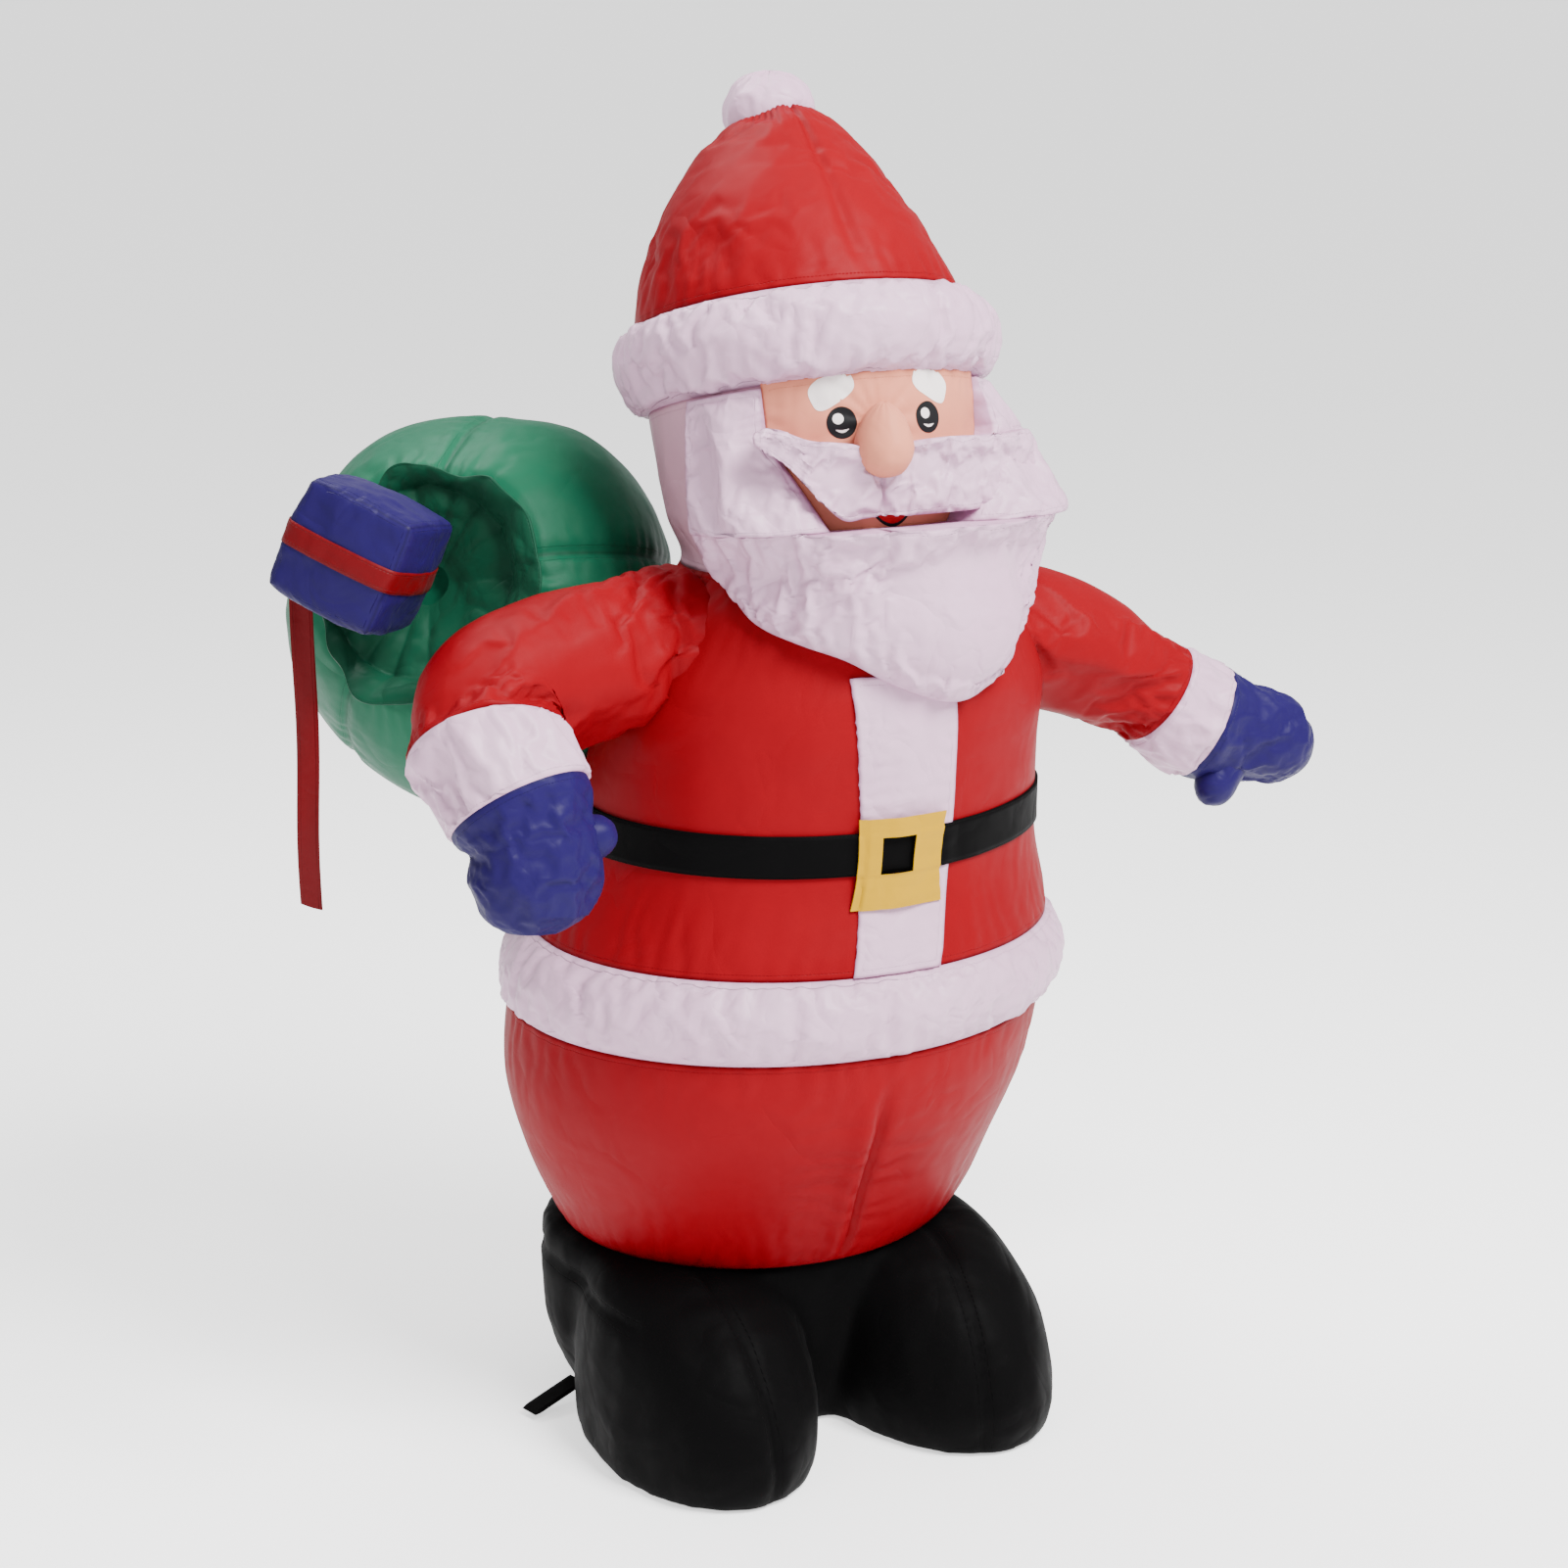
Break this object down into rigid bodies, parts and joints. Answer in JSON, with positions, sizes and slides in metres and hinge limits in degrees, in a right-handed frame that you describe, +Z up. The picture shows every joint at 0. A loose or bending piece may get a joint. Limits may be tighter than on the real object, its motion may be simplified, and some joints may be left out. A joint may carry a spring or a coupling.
{
  "type": "inflatable santa",
  "caption": "Air-filled standing santa figure of sewn cloth, one arm held out, a sack with a wrapped box on its shoulder and boots that rest flat on the floor.",
  "frame": {"origin": "on the floor plane, below the middle of the figure, on the flat underside of the boots", "axes": "+Z up, the figure faces -Y and its left hand points to +X"},
  "size_m": [0.9624, 0.5909, 1.2001],
  "materials": {
    "red": "woven nylon, soft sheen",
    "white": "woven nylon, soft sheen",
    "skin": "woven nylon, soft sheen",
    "black": "woven nylon, soft sheen",
    "blue": "woven nylon, soft sheen",
    "green": "woven nylon, soft sheen",
    "dark_green": "woven nylon, soft sheen",
    "yellow": "woven nylon, soft sheen"
  },
  "bodies": {
    "root": {"beard_left": "white", "beard_right": "white", "belt": "black", "bib": "white", "boots": "black", "buckle": "yellow", "face": "skin", "gift": "blue", "gift_ribbon": "red", "hat_brim": "white", "hat_crown": "red", "head": "white", "hem_band": "white", "jacket": "red", "left_cuff": "white", "left_mitten": "blue", "left_sleeve": "red", "moustache": "white", "nose": "skin", "placket": "white", "pompom": "white", "ribbon_tail": "red", "right_cuff": "white", "right_mitten": "blue", "right_sleeve": "red", "sack": "green", "sack_collar": "dark_green", "tether_strap": "black", "tie_ribbon": "red", "trousers": "red"}
  },
  "joints": []
}
